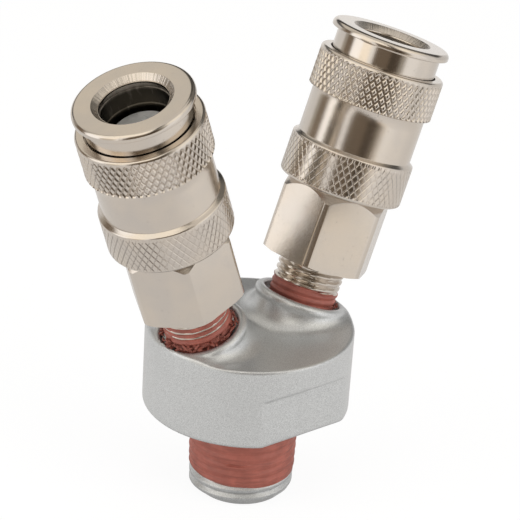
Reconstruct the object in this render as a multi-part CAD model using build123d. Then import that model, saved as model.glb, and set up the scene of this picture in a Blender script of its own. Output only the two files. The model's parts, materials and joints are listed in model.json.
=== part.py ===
"""Two-way splitter for compressed air: one male inlet thread feeds two quick couplers.

A die-cast drum stands on its inlet thread, with the origin at the middle of the thread's end
face and +Z up through the drum. Two bosses on its top lean out to the left (-X) and right (+X),
and a quick coupler is screwed into each. A coupler is a turned hex body, a nose tube with a
flanged mouth, a knurled sleeve that slides forward over four locking balls, and a sprung valve.
Sizes are millimetres and degrees.
"""

from build123d import *
import math
import os

# Inlet thread, taper 1 in 16 on the diameter
inlet_gauge_radius = 10.4775
inlet_gauge_height = 8.2
inlet_thread_pitch = 1.814
inlet_thread_depth = 1.16
inlet_end_radius = 8.7
inlet_end_chamfer = 1.3
inlet_bore_radius = 7.0
inlet_bore_chamfer = 0.5
inlet_bore_ceiling = 10.0
taper_slope = 1 / 32

# Drum
drum_base_height = 19.3
drum_top_height = 36.0
drum_top_radius = 20.75
drum_draft = 0.15
drum_base_edge = 0.6
drum_top_edge = 0.7
wrench_flat_distance = 17.8
wrench_flat_height = 29.2
wrench_flat_run_out = 1.4

# Bosses; the middle of a mouth lies above the drum's top and inside its rim
coupler_tilt = 19.75
boss_mouth_rise = 2.988
boss_mouth_inset = 7.757
boss_mouth_radius = 7.75
boss_rim_radius = 9.05
boss_crease_radius = 8.8
boss_crease_depth = 1.9
boss_skirt_radius = 14.5
boss_skirt_depth = 7.2
boss_skirt_hollow = 0.55
boss_root_depth = 14.0
boss_counterbore_depth = 1.5
boss_counterbore_cone = 0.9
boss_thread_depth = 6.0
boss_passage_radius = 4.2
boss_passage_depth = 17.45

# Outlet thread, male on each coupler
outlet_gauge_radius = 6.5785
outlet_thread_pitch = 1.337
outlet_thread_depth = 0.85
outlet_thread_length = 12.5
outlet_relief_length = 0.8
outlet_bore_radius = 4.0
thread_fit = 0.03

# Coupler body, measured forward from the back face of its hex
hex_stand_out = 7.55
left_stand_out = 0.65
hex_across_flats = 20.0
hex_corner_radius = 11.25
hex_length = 15.0
hex_front_radius = 9.9
hex_front_chamfer = 1.7
hex_rear_chamfer = 0.35
left_hex_turn = 4.1
right_hex_turn = 37.4
collar_length = 2.9
collar_radius = 10.70
body_tube_radius = 9.6
body_tube_end = 27.6
spigot_start = 19.5
spigot_radius = 8.2
valve_chamber_start = 5.0
valve_chamber_radius = 7.3

# Nose tube with its flanged mouth
nose_waist_radius = 9.15
nose_step_station = 33.0
nose_radius = 10.45
flange_station = 45.66
flange_thickness = 1.47
flange_radius = 11.85
flange_edge = 0.9
mouth_radius = 7.78
mouth_chamfer_depth = 1.25
plug_bore_radius = 6.7
plug_bore_rear_station = 41.2
plug_tip_bore_radius = 6.5
seat_front_station = 31.0
seat_rear_station = 27.0
seat_bore_radius = 5.6

# Sleeve
sleeve_rear_station = 15.3
sleeve_front_station = 41.6
sleeve_travel = 4.0
rear_knurl_radius = 12.35
front_knurl_radius = 12.5
rear_knurl_length = 8.2
front_knurl_length = 8.2
sleeve_waist_radius = 11.45
sleeve_shoulder = 0.75
sleeve_edge = 0.6
sleeve_chamber_radius = 10.75
sleeve_rib_thickness = 1.4

# Locking balls and the sleeve's cam
ball_count = 4
ball_radius = 2.38
ball_station = 37.5
ball_travel = 1.05
ball_hole_turn = 45.0
cam_lip_length = 1.4

# Valve
valve_front_station = 40.0
valve_head_thickness = 1.6
valve_fin_radius = 5.52
valve_core_radius = 2.2
valve_fin_thickness = 1.6
valve_fin_count = 4
valve_hub_radius = 4.0
valve_disc_radius = 6.9
valve_disc_thickness = 1.6
valve_seal_thickness = 1.4
valve_seal_radius = 6.7

# Plug seal in the nose
plug_seal_station = 32.1
plug_seal_length = 1.8
plug_seal_groove_radius = 7.9
plug_seal_lip_radius = 6.3

# Springs and the sleeve's washer
sleeve_spring_wire = 0.8
sleeve_spring_turns = 3.5
valve_spring_wire = 0.9
valve_spring_turns = 4.5
valve_spring_radius = 5.2
spring_seat_gap = 0.05
washer_thickness = 0.6

# Thread sealant
sealant_cover = 0.2
inlet_sealant_base = 5.2
left_sealant_gap = 1.1
right_sealant_gap = 3.8

# Running fits, as gaps on the radius
slide_fit = 0.05
ball_fit = 0.04
small_gap = 0.02

# How far a cutting shape stands clear of what it cuts
cutter_reach = 1.0

# The drum's draft makes its underside narrower
drum_base_radius = drum_top_radius - drum_draft

# Where the couplers' axes cross, and where a boss's mouth and a hex lie along them
boss_mouth_station = (drum_top_radius - boss_mouth_inset) / math.sin(math.radians(coupler_tilt))
boss_mouth_drop = boss_mouth_station * math.cos(math.radians(coupler_tilt))
axes_crossing_height = drum_top_height + boss_mouth_rise - boss_mouth_drop
hex_rear_station = boss_mouth_station + hex_stand_out


def turned(points):
    """A solid of revolution about Z, from its half section as (radius, height) points."""
    outline = Polyline(*[(radius, 0, height) for radius, height in points], close=True)
    return revolve(make_face(outline), Axis.Z)


def tube(outer, inner, low, high):
    """A plain ring from one height to another."""
    return turned([(inner, low), (outer, low), (outer, high), (inner, high)])


def round_bar(radius, low, high):
    """A plain round bar on Z."""
    return turned([(0, low), (radius, low), (radius, high), (0, high)])


def thread_ridges(low, high, pitch, depth, radius_at):
    """Half-section points of V ridges whose crests follow radius_at, from low to high."""
    count = max(1, round((high - low) / pitch))
    step = (high - low) / count
    points = [(radius_at(low) - depth, low)]
    for index in range(count):
        crest = low + (index + 0.5) * step
        root = low + (index + 1) * step
        points.append((radius_at(crest), crest))
        points.append((radius_at(root) - depth, root))
    return points


def axis_place(side, station):
    """The plane square to one axis, at a station along it; side is -1 left and 1 right."""
    tilt = math.radians(coupler_tilt)
    origin = (side * station * math.sin(tilt), 0, axes_crossing_height + station * math.cos(tilt))
    across = (-math.cos(tilt), 0, side * math.sin(tilt))
    along = (side * math.sin(tilt), 0, math.cos(tilt))
    return Plane(origin=origin, x_dir=across, z_dir=along)


def coupler_place(side):
    """The plane of a coupler's hex back face."""
    return axis_place(side, hex_rear_station + (left_stand_out if side < 0 else 0))


def boss_place(side):
    """The plane at the crossing of the axes, from which a boss's stations are measured."""
    return axis_place(side, 0)


def inlet_radius(height):
    """Crest radius of the tapered inlet thread."""
    return inlet_gauge_radius + (height - inlet_gauge_height) * taper_slope


def outlet_radius(height):
    """Crest radius of a coupler's tapered thread, on the coupler's own axis."""
    return outlet_gauge_radius + (height + outlet_thread_length / 2) * taper_slope


def boss_blank():
    """One boss with a rounded rim, a crease under it and a hollow skirt that spreads downwards."""
    mouth = boss_mouth_station
    crease = mouth - boss_crease_depth
    skirt = mouth - boss_skirt_depth
    land = (boss_mouth_radius + boss_rim_radius) / 2
    hollow = boss_crease_radius + (boss_skirt_radius - boss_crease_radius) * (1 - boss_skirt_hollow) / 2
    hollow_height = crease - (crease - skirt) * (1 + boss_skirt_hollow) / 2
    outline = [
        Line((0, 0, mouth - boss_root_depth), (boss_skirt_radius, 0, mouth - boss_root_depth)),
        Line((boss_skirt_radius, 0, mouth - boss_root_depth), (boss_skirt_radius, 0, skirt)),
        ThreePointArc(
            (boss_skirt_radius, 0, skirt),
            (hollow, 0, hollow_height),
            (boss_crease_radius, 0, crease),
        ),
        ThreePointArc(
            (boss_crease_radius, 0, crease),
            (boss_rim_radius, 0, (crease + mouth) / 2),
            (land, 0, mouth),
        ),
        Line((land, 0, mouth), (0, 0, mouth)),
        Line((0, 0, mouth), (0, 0, mouth - boss_root_depth)),
    ]
    return revolve(make_face(Wire(outline)), Axis.Z)


def boss_hollow():
    """The counterbore, tapped hole and air passage that are cut in one boss."""
    mouth = boss_mouth_station
    cone = mouth - boss_counterbore_depth
    hole = cone - boss_counterbore_cone
    bottom = mouth - boss_counterbore_depth - boss_thread_depth
    hole_top = outlet_radius(hole - hex_rear_station) + thread_fit
    hole_bottom = outlet_radius(bottom - hex_rear_station) + thread_fit
    above = mouth + cutter_reach
    start = mouth - boss_passage_depth
    return turned(
        [
            (0, start),
            (boss_passage_radius, start),
            (boss_passage_radius, bottom),
            (hole_bottom, bottom),
            (hole_top, hole),
            (boss_mouth_radius, cone),
            (boss_mouth_radius, above),
            (0, above),
        ]
    )


def wrench_flat(side):
    """The block cut away at one flat on the drum; its upper end runs out on a slope."""
    depth = drum_top_radius - wrench_flat_distance + cutter_reach
    rise = wrench_flat_run_out * depth / (drum_top_radius - wrench_flat_distance)
    outline = Polyline(
        (0, wrench_flat_distance, drum_base_height - cutter_reach),
        (0, wrench_flat_distance + depth, drum_base_height - cutter_reach),
        (0, wrench_flat_distance + depth, wrench_flat_height + rise),
        (0, wrench_flat_distance, wrench_flat_height),
        close=True,
    )
    block = extrude(make_face(outline), drum_top_radius, dir=(1, 0, 0), both=True)
    return block if side > 0 else block.mirror(Plane.XZ)


def make_manifold():
    """The casting: inlet thread, drum, two leaning bosses and the air ways inside."""
    drum = turned(
        [
            (0, drum_base_height),
            (drum_base_radius, drum_base_height),
            (drum_top_radius, drum_top_height),
            (0, drum_top_height),
        ]
    )
    rims = drum.edges().filter_by(GeomType.CIRCLE)
    drum = fillet(rims.sort_by(Axis.Z)[-1], drum_top_edge)
    rims = drum.edges().filter_by(GeomType.CIRCLE)
    drum = fillet(rims.sort_by(Axis.Z)[0], drum_base_edge)
    ridges = thread_ridges(
        inlet_end_chamfer, drum_base_height, inlet_thread_pitch, inlet_thread_depth, inlet_radius
    )
    core = inlet_bore_radius + inlet_bore_chamfer
    stub = turned(
        [(0, 0), (core, 0), (inlet_end_radius, 0)]
        + ridges
        + [(ridges[-1][0], drum_base_height + cutter_reach), (0, drum_base_height + cutter_reach)]
    )
    above = drum_top_height + boss_mouth_rise + boss_rim_radius
    envelope = turned(
        [
            (0, drum_base_height),
            (drum_base_radius, drum_base_height),
            (drum_top_radius, drum_top_height),
            (drum_top_radius, above),
            (0, above),
        ]
    )
    body = drum + stub
    for side in (-1, 1):
        boss = boss_place(side).location * boss_blank()
        body = body + (boss & envelope)
    for side in (-1, 1):
        body = body - boss_place(side).location * boss_hollow()
        body = body - wrench_flat(side)
    bore_top = drum_top_height - inlet_bore_ceiling
    bore = turned(
        [
            (0, -cutter_reach),
            (core, -cutter_reach),
            (core, 0),
            (inlet_bore_radius, inlet_bore_chamfer),
            (inlet_bore_radius, bore_top),
            (0, bore_top + inlet_bore_radius / 2),
        ]
    )
    return body - bore


def make_inlet_sealant(manifold):
    """The band of dried sealant that fills the inlet thread up to the drum."""
    inner = (inlet_bore_radius + inlet_end_radius) / 2
    band = turned(
        [
            (inner, inlet_sealant_base),
            (inlet_radius(inlet_sealant_base) + sealant_cover, inlet_sealant_base),
            (inlet_radius(drum_base_height) + sealant_cover, drum_base_height),
            (inner, drum_base_height),
        ]
    )
    return band - manifold


def make_coupler_body(side):
    """Hex, male thread and the tube behind the nose, turned from one bar."""
    half_flats = hex_across_flats / 2
    turn = left_hex_turn if side < 0 else right_hex_turn
    hexagon = RegularPolygon(half_flats, 6, major_radius=False, rotation=turn)
    prism = extrude(hexagon, hex_length)
    corners = turned(
        [
            (0, 0),
            (hex_corner_radius - 2 * hex_rear_chamfer, 0),
            (hex_corner_radius, hex_rear_chamfer),
            (hex_corner_radius, hex_length - hex_front_chamfer),
            (hex_front_radius, hex_length),
            (0, hex_length),
        ]
    )
    relief = -outlet_relief_length
    exposed = -hex_stand_out - boss_counterbore_depth
    relief_radius = outlet_radius(relief) - outlet_thread_depth
    ridges = thread_ridges(
        exposed, relief, outlet_thread_pitch, outlet_thread_depth, outlet_radius
    )
    thread = turned(
        [
            (0, -outlet_thread_length),
            (outlet_radius(-outlet_thread_length) - outlet_thread_depth, -outlet_thread_length),
            (outlet_radius(-outlet_thread_length), outlet_thread_depth - outlet_thread_length),
            (outlet_radius(exposed), exposed),
        ]
        + ridges
        + [(relief_radius, cutter_reach), (0, cutter_reach)]
    )
    collar = round_bar(collar_radius, hex_length, hex_length + collar_length)
    tail = round_bar(body_tube_radius, hex_length + collar_length, body_tube_end)
    passage = turned(
        [
            (0, -outlet_thread_length - cutter_reach),
            (outlet_bore_radius, -outlet_thread_length - cutter_reach),
            (outlet_bore_radius, valve_chamber_start),
            (valve_chamber_radius, valve_chamber_start + valve_chamber_radius - outlet_bore_radius),
            (valve_chamber_radius, spigot_start - spigot_radius + valve_chamber_radius),
            (spigot_radius + small_gap, spigot_start - small_gap),
            (spigot_radius + small_gap, body_tube_end + cutter_reach),
            (0, body_tube_end + cutter_reach),
        ]
    )
    return (prism & corners) + thread + collar + tail - passage


def make_nose():
    """The front tube: spigot in the body, waist, ball holes, flange and chamfered mouth."""
    flange_front = flange_station + flange_thickness
    blank = turned(
        [
            (valve_chamber_radius, spigot_start),
            (spigot_radius, spigot_start),
            (spigot_radius, body_tube_end),
            (nose_waist_radius, body_tube_end),
            (nose_waist_radius, nose_step_station),
            (nose_radius, nose_step_station),
            (nose_radius, flange_station),
            (flange_radius, flange_station),
            (flange_radius, flange_front),
            (mouth_radius, flange_front),
            (plug_bore_radius, flange_front - mouth_chamfer_depth),
            (plug_bore_radius, plug_bore_rear_station),
            (plug_tip_bore_radius, plug_bore_rear_station - plug_bore_radius + plug_tip_bore_radius),
            (plug_tip_bore_radius, plug_seal_station + plug_seal_length),
            (plug_seal_groove_radius, plug_seal_station + plug_seal_length),
            (plug_seal_groove_radius, plug_seal_station),
            (plug_tip_bore_radius, plug_seal_station),
            (plug_tip_bore_radius, seat_front_station),
            (seat_bore_radius, seat_front_station),
            (seat_bore_radius, seat_rear_station),
            (valve_chamber_radius, seat_rear_station),
        ]
    )
    front = blank.edges().filter_by(GeomType.CIRCLE).group_by(Axis.Z)[-1]
    blank = fillet(front.sort_by(SortBy.RADIUS)[-1], flange_edge)
    hole = extrude(Circle(ball_radius + ball_fit), nose_radius + cutter_reach)
    for index in range(ball_count):
        turn = ball_hole_turn + index * 360 / ball_count
        blank = blank - Pos(0, 0, ball_station) * Rot(0, 0, turn) * Rot(0, 90, 0) * hole
    return blank


def cam_radius(station):
    """Inner radius of the sleeve's cam cone, set so that a ball keeps one gap over the travel."""
    slope = ball_travel / sleeve_travel
    lean = math.atan(slope)
    centre = nose_radius - ball_radius + ball_travel
    return centre + (ball_radius + ball_fit) / math.cos(lean) + (station - ball_station) * slope


def make_sleeve():
    """The sliding sleeve: two knurl bands, a waist, an inner rib, the cam and a front lip."""
    land = nose_radius + slide_fit
    slope = ball_travel / sleeve_travel
    cam_start = ball_station - (cam_radius(ball_station) - land) / slope
    lip = sleeve_front_station - cam_lip_length
    rib = body_tube_end
    band = sleeve_rear_station + rear_knurl_length
    front_band = sleeve_front_station - front_knurl_length
    blank = turned(
        [
            (sleeve_chamber_radius, sleeve_rear_station),
            (rear_knurl_radius, sleeve_rear_station),
            (rear_knurl_radius, band),
            (sleeve_waist_radius, band + sleeve_shoulder),
            (sleeve_waist_radius, front_band),
            (front_knurl_radius, front_band),
            (front_knurl_radius, sleeve_front_station),
            (land, sleeve_front_station),
            (land, lip),
            (cam_radius(ball_station), lip),
            (cam_radius(ball_station), ball_station),
            (land, cam_start),
            (land, rib + sleeve_rib_thickness),
            (nose_waist_radius + slide_fit, rib + sleeve_rib_thickness),
            (nose_waist_radius + slide_fit, rib),
            (sleeve_chamber_radius, rib),
        ]
    )
    rims = blank.edges().filter_by(GeomType.CIRCLE).group_by(Axis.Z)
    ends = [rims[0].sort_by(SortBy.RADIUS)[-1], rims[-1].sort_by(SortBy.RADIUS)[-1]]
    return fillet(ends, sleeve_edge)


def make_ball(index):
    """One locking ball, held out by the cam's recess at rest."""
    turn = math.radians(ball_hole_turn + index * 360 / ball_count)
    centre = nose_radius - ball_radius + ball_travel
    return Pos(centre * math.cos(turn), centre * math.sin(turn), ball_station) * Sphere(ball_radius)


def make_valve():
    """The valve: a round face on four fins that slide in the seat, with a sealing disc behind."""
    seal_front = seat_rear_station - small_gap
    disc_front = seal_front - valve_seal_thickness
    head_rear = valve_front_station - valve_head_thickness
    spindle = turned(
        [
            (0, disc_front - valve_disc_thickness),
            (valve_disc_radius, disc_front - valve_disc_thickness),
            (valve_disc_radius, disc_front),
            (valve_hub_radius, disc_front),
            (valve_hub_radius, seal_front),
            (valve_core_radius, seal_front),
            (valve_core_radius, head_rear),
            (valve_fin_radius, head_rear),
            (valve_fin_radius, valve_front_station),
            (0, valve_front_station),
        ]
    )
    fin_length = head_rear - seal_front
    fin = Box(
        2 * valve_fin_radius, valve_fin_thickness, fin_length,
        align=(Align.CENTER, Align.CENTER, Align.MIN),
    )
    fins = Pos(0, 0, seal_front) * fin
    for index in range(1, valve_fin_count // 2):
        fins = fins + Rot(0, 0, index * 360 / valve_fin_count) * Pos(0, 0, seal_front) * fin
    return spindle + (fins & round_bar(valve_fin_radius, seal_front, head_rear))


def make_valve_seal():
    """The rubber ring that closes on the seat."""
    front = seat_rear_station - small_gap
    return tube(
        valve_seal_radius, valve_hub_radius + small_gap, front - valve_seal_thickness + small_gap, front
    )


def make_plug_seal():
    """The rubber ring in the nose that grips a plug."""
    low = plug_seal_station + small_gap
    high = plug_seal_station + plug_seal_length - small_gap
    return tube(plug_seal_groove_radius - small_gap, plug_seal_lip_radius, low, high)


def make_spring(radius, wire, low, high, turns):
    """A round-wire compression spring on Z that stands between two heights."""
    start = low + wire / 2
    length = high - low - wire
    path = Helix(length / turns, length, radius, center=(0, 0, start))
    section = Plane(origin=path @ 0, z_dir=path % 0) * Circle(wire / 2)
    return sweep(section, path, is_frenet=True)


def make_sleeve_spring():
    """The spring between the washer and the sleeve's rib."""
    radius = (body_tube_radius + sleeve_chamber_radius) / 2
    low = hex_length + collar_length + washer_thickness + 2 * spring_seat_gap
    return make_spring(
        radius, sleeve_spring_wire, low, body_tube_end - spring_seat_gap, sleeve_spring_turns
    )


def make_spring_washer():
    """The loose washer between the body's collar and the sleeve's spring."""
    low = hex_length + collar_length + spring_seat_gap
    return tube(
        sleeve_chamber_radius - 2 * slide_fit, body_tube_radius + slide_fit, low, low + washer_thickness
    )


def make_valve_spring():
    """The spring that holds the valve on its seat."""
    disc_rear = seat_rear_station - small_gap - valve_seal_thickness - valve_disc_thickness
    drop = valve_chamber_radius - valve_spring_radius - valve_spring_wire / 2
    low = valve_chamber_start + valve_chamber_radius - outlet_bore_radius - drop + valve_spring_wire / 2
    return make_spring(
        valve_spring_radius, valve_spring_wire, low, disc_rear - spring_seat_gap, valve_spring_turns
    )


def make_thread_sealant(side, body):
    """The sealant on the part of a coupler's thread that stands out of its boss."""
    stand_out = hex_stand_out + (left_stand_out if side < 0 else 0)
    front = -(left_sealant_gap if side < 0 else right_sealant_gap)
    low = small_gap - stand_out - boss_counterbore_depth
    inner = (outlet_bore_radius + outlet_gauge_radius) / 2
    band = turned(
        [
            (inner, low),
            (outlet_radius(low) + sealant_cover, low),
            (outlet_radius(front) + sealant_cover, front),
            (inner, front),
        ]
    )
    return band - body


def write(name, shape):
    """Write one piece to its STEP file."""
    shape.label = name
    export_step(shape, f"parts/{name}.step")


def main():
    os.makedirs("parts", exist_ok=True)
    manifold = make_manifold()
    write("manifold", manifold)
    write("inlet_sealant", make_inlet_sealant(manifold))
    for side, word in ((-1, "left"), (1, "right")):
        place = coupler_place(side).location
        body = make_coupler_body(side)
        pieces = {
            "coupler_body": body,
            "nose": make_nose(),
            "sleeve": make_sleeve(),
            "sleeve_spring": make_sleeve_spring(),
            "spring_washer": make_spring_washer(),
            "valve": make_valve(),
            "valve_seal": make_valve_seal(),
            "valve_spring": make_valve_spring(),
            "plug_seal": make_plug_seal(),
            "thread_sealant": make_thread_sealant(side, body),
        }
        for index in range(ball_count):
            pieces[f"ball_{index + 1}"] = make_ball(index)
        for name, piece in pieces.items():
            write(f"{word}_{name}", place * piece)


main()
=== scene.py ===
import json
import math

import bmesh
import bpy
import numpy as np
from bpy.props import FloatProperty, FloatVectorProperty, IntProperty, PointerProperty
from mathutils import Matrix, Quaternion, Vector


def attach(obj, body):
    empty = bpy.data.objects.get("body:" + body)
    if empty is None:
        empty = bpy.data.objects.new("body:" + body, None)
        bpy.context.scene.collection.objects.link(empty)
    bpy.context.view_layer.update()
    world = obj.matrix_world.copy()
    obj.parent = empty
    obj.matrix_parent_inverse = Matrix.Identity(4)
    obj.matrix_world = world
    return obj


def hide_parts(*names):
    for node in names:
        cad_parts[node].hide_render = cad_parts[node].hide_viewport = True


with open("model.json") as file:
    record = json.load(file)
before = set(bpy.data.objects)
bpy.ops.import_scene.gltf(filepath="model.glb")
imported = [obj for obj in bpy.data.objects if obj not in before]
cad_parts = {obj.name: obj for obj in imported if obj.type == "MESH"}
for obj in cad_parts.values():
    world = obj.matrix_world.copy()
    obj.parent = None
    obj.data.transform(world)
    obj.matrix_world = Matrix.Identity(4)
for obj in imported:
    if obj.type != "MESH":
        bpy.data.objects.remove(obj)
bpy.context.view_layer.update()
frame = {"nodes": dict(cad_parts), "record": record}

bl_info = {
    "name": "Quick coupling splitter",
    "version": (1, 0, 0),
    "blender": (4, 5, 0),
    "location": "View3D > Sidebar > Splitter",
    "description": "Two-way compressed-air splitter with couplers, sealant and a plain stage",
    "category": "Object",
}

SIDES = ("left", "right")


def metres(name, description, default):
    return FloatProperty(name=name, description=description, default=default, unit="LENGTH")


def degrees(name, description, turn):
    return FloatProperty(name=name, description=description, default=math.radians(turn), unit="ROTATION")


def shade(name, description, default):
    return FloatVectorProperty(name=name, description=description, default=default, subtype="COLOR")


class CastingSizes(bpy.types.PropertyGroup):
    """Sizes of the drum and its bosses that the looks need."""

    net_step: metres("Mesh step", "Grid step of the casting's mesh", 0.00038)
    drum_base: metres("Drum base", "Height of the drum's underside", 0.0193)
    drum_top: metres("Drum top", "Height of the drum's flat top", 0.036)
    base_radius: metres("Base radius", "Drum radius at its underside", 0.0206)
    top_radius: metres("Top radius", "Drum radius at its top", 0.02075)
    flat_distance: metres("Flat distance", "Wrench flat from the axis", 0.0178)
    flat_height: metres("Flat height", "Top of the wrench flat", 0.0292)
    ledge_slope: FloatProperty(name="Ledge slope", description="Rise of a flat's ledge", default=0.62)
    boss_mouth: metres("Boss mouth", "Boss mouth from the crossing of the axes", 0.03845)
    boss_radius: metres("Boss radius", "Radius of a boss under its rim", 0.0090)
    rim_bead: metres("Rim bead", "Radius of the rounded rim's section", 0.00105)
    mouth_radius: metres("Mouth radius", "Radius of a boss's mouth", 0.00775)
    skirt_blend: metres("Skirt blend", "How far a boss flows into the drum", 0.0036)
    crossing: metres("Axes crossing", "Height where the couplers' axes cross", 0.0028)


class ThreadSizes(bpy.types.PropertyGroup):
    """Sizes of the pipe threads and the sealant on them."""

    inlet_radius: metres("Inlet gauge radius", "Crest radius at the gauge plane", 0.0104775)
    inlet_gauge: metres("Inlet gauge height", "Height of the gauge plane", 0.0082)
    inlet_pitch: metres("Inlet pitch", "Pitch of the inlet thread", 0.001814)
    inlet_depth: metres("Inlet depth", "Depth of the painted inlet thread", 0.0006)
    inlet_end: metres("Inlet end radius", "Radius of the chamfered end", 0.0087)
    inlet_bore: metres("Inlet bore radius", "Radius of the inlet bore", 0.007)
    outlet_radius: metres("Outlet gauge radius", "Crest radius of a coupler's thread", 0.0065785)
    outlet_gauge: metres("Outlet gauge height", "Gauge plane from the hex", -0.00625)
    outlet_pitch: metres("Outlet pitch", "Pitch of a coupler's thread", 0.001337)
    outlet_depth: metres("Outlet depth", "Depth of a coupler's thread", 0.00055)
    sealant_cover: metres("Sealant cover", "Sealant over the thread crests", 0.00013)


class CouplerSizes(bpy.types.PropertyGroup):
    """Sizes of one quick coupler, measured from the back face of its hex."""

    mount_station: metres("Mount station", "Where the record's outlet mount lies", 0.04354)
    across_flats: metres("Across flats", "Hex size", 0.020)
    corner_radius: metres("Corner radius", "Turned radius of the hex corners", 0.01125)
    hex_length: metres("Hex length", "Length of the hex", 0.015)
    left_turn: degrees("Left hex turn", "Turn of the left hex", 4.1)
    right_turn: degrees("Right hex turn", "Turn of the right hex", 37.4)
    nose_radius: metres("Nose radius", "Radius of the neck under the flange", 0.01045)
    flange_radius: metres("Flange radius", "Radius of the mouth's flange", 0.01185)
    bore_radius: metres("Bore radius", "Bore that takes the plug", 0.0067)
    tip_bore_radius: metres("Tip bore radius", "Narrower bore behind it", 0.0065)
    front_radius: metres("Front knurl radius", "Crest radius of the front knurl", 0.0125)
    rear_radius: metres("Rear knurl radius", "Crest radius of the rear knurl", 0.01235)
    waist_radius: metres("Waist radius", "Smooth middle of the sleeve", 0.01145)
    front_teeth: IntProperty(
        name="Front knurl teeth", description="Diamonds round the front knurl", default=56
    )
    front_lead: metres("Front knurl lead", "Length of one diamond of the front knurl", 0.0024)
    rear_teeth: IntProperty(
        name="Rear knurl teeth", description="Diamonds round the rear knurl", default=56
    )
    rear_lead: metres("Rear knurl lead", "Length of one diamond of the rear knurl", 0.00222)
    front_depth: metres("Front knurl depth", "Depth of the front knurl", 0.00034)
    rear_depth: metres("Rear knurl depth", "Depth of the rear knurl", 0.00014)
    rear_knurl_low: metres("Rear knurl low", "Station where the rear knurl starts", 0.0155)
    rear_knurl_high: metres("Rear knurl high", "Station where the rear knurl ends", 0.0231)
    # painted shade: where the shade painted into a mouth's wall is full, and where it fades out
    bore_shade_full: metres("Full shade line", "Station below which a mouth's wall is oiled", 0.0440)
    bore_shade_fade: metres("Shade fade line", "Station above which it is clean", 0.0455)
    groove_share: FloatProperty(
        name="Groove share", description="Half a groove's width in diamonds", default=0.084
    )


class FinishColours(bpy.types.PropertyGroup):
    """Colours of the finishes."""

    nickel: shade("Nickel", "Nickel plate", (0.66, 0.605, 0.546))
    paint: shade("Casting paint", "Silver-grey paint", (0.62, 0.63, 0.63))
    sealant: shade("Sealant", "Dried thread sealant", (0.34, 0.098, 0.070))
    # painted shade: the near-black colour of a mouth's deep wall
    bore: shade("Bore", "Shaded wall inside a mouth", (0.062, 0.055, 0.044))
    rubber: shade("Rubber", "Seals", (0.02, 0.02, 0.02))
    valve: shade("Valve metal", "Valve face", (0.74, 0.73, 0.70))
    steel: shade("Spring steel", "Springs, washers and balls", (0.45, 0.45, 0.45))
    floor: shade("Floor", "Pale floor", (0.86, 0.85, 0.84))


class StageSettings(bpy.types.PropertyGroup):
    """Camera and lamps."""

    azimuth: degrees("Azimuth", "Camera azimuth", -40.28)
    elevation: degrees("Elevation", "Camera elevation", 26.27)
    roll: degrees("Roll", "Camera roll", 3.70)
    distance: metres("Distance", "Camera distance", 0.6398)
    lens: FloatProperty(
        name="Lens", description="Focal length in millimetres on a 36 mm sensor", default=227.33
    )
    aim_height: metres("Aim height", "Height the camera turns about", 0.045)
    aim_right: metres("Aim right", "Aim shifted to the right", 0.00142)
    aim_up: metres("Aim up", "Aim shifted up", 0.00436)


class Value:
    """A node socket that takes part in Python arithmetic."""

    def __init__(self, graph, socket):
        self.graph, self.socket = graph, socket

    def _math(self, operation, *others):
        return self.graph.node("ShaderNodeMath", {"operation": operation}, [self, *others])

    def __add__(self, other):
        return self._math("ADD", other)

    __radd__ = __add__

    def __mul__(self, other):
        return self._math("MULTIPLY", other)

    __rmul__ = __mul__

    def __sub__(self, other):
        return self._math("SUBTRACT", other)

    def __rsub__(self, other):
        return self.graph.node("ShaderNodeMath", {"operation": "SUBTRACT"}, [other, self])

    def __truediv__(self, other):
        return self._math("DIVIDE", other)

    def __pow__(self, other):
        return self._math("POWER", other)

    def fraction(self):
        return self._math("FRACT")

    def size(self):
        """The value without its sign."""
        return self._math("ABSOLUTE")

    def smallest(self, other):
        return self._math("MINIMUM", other)

    def angle_from(self, across):
        """Angle in radians of the point whose other coordinate is across."""
        return self._math("ARCTAN2", across)

    def ramp(self, low, high):
        """0 below low, 1 above high, and smooth between."""
        settings = {"interpolation_type": "SMOOTHSTEP"}
        inputs = {"Value": self, "From Min": low, "From Max": high}
        return self.graph.node("ShaderNodeMapRange", settings, inputs, out="Result")


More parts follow.
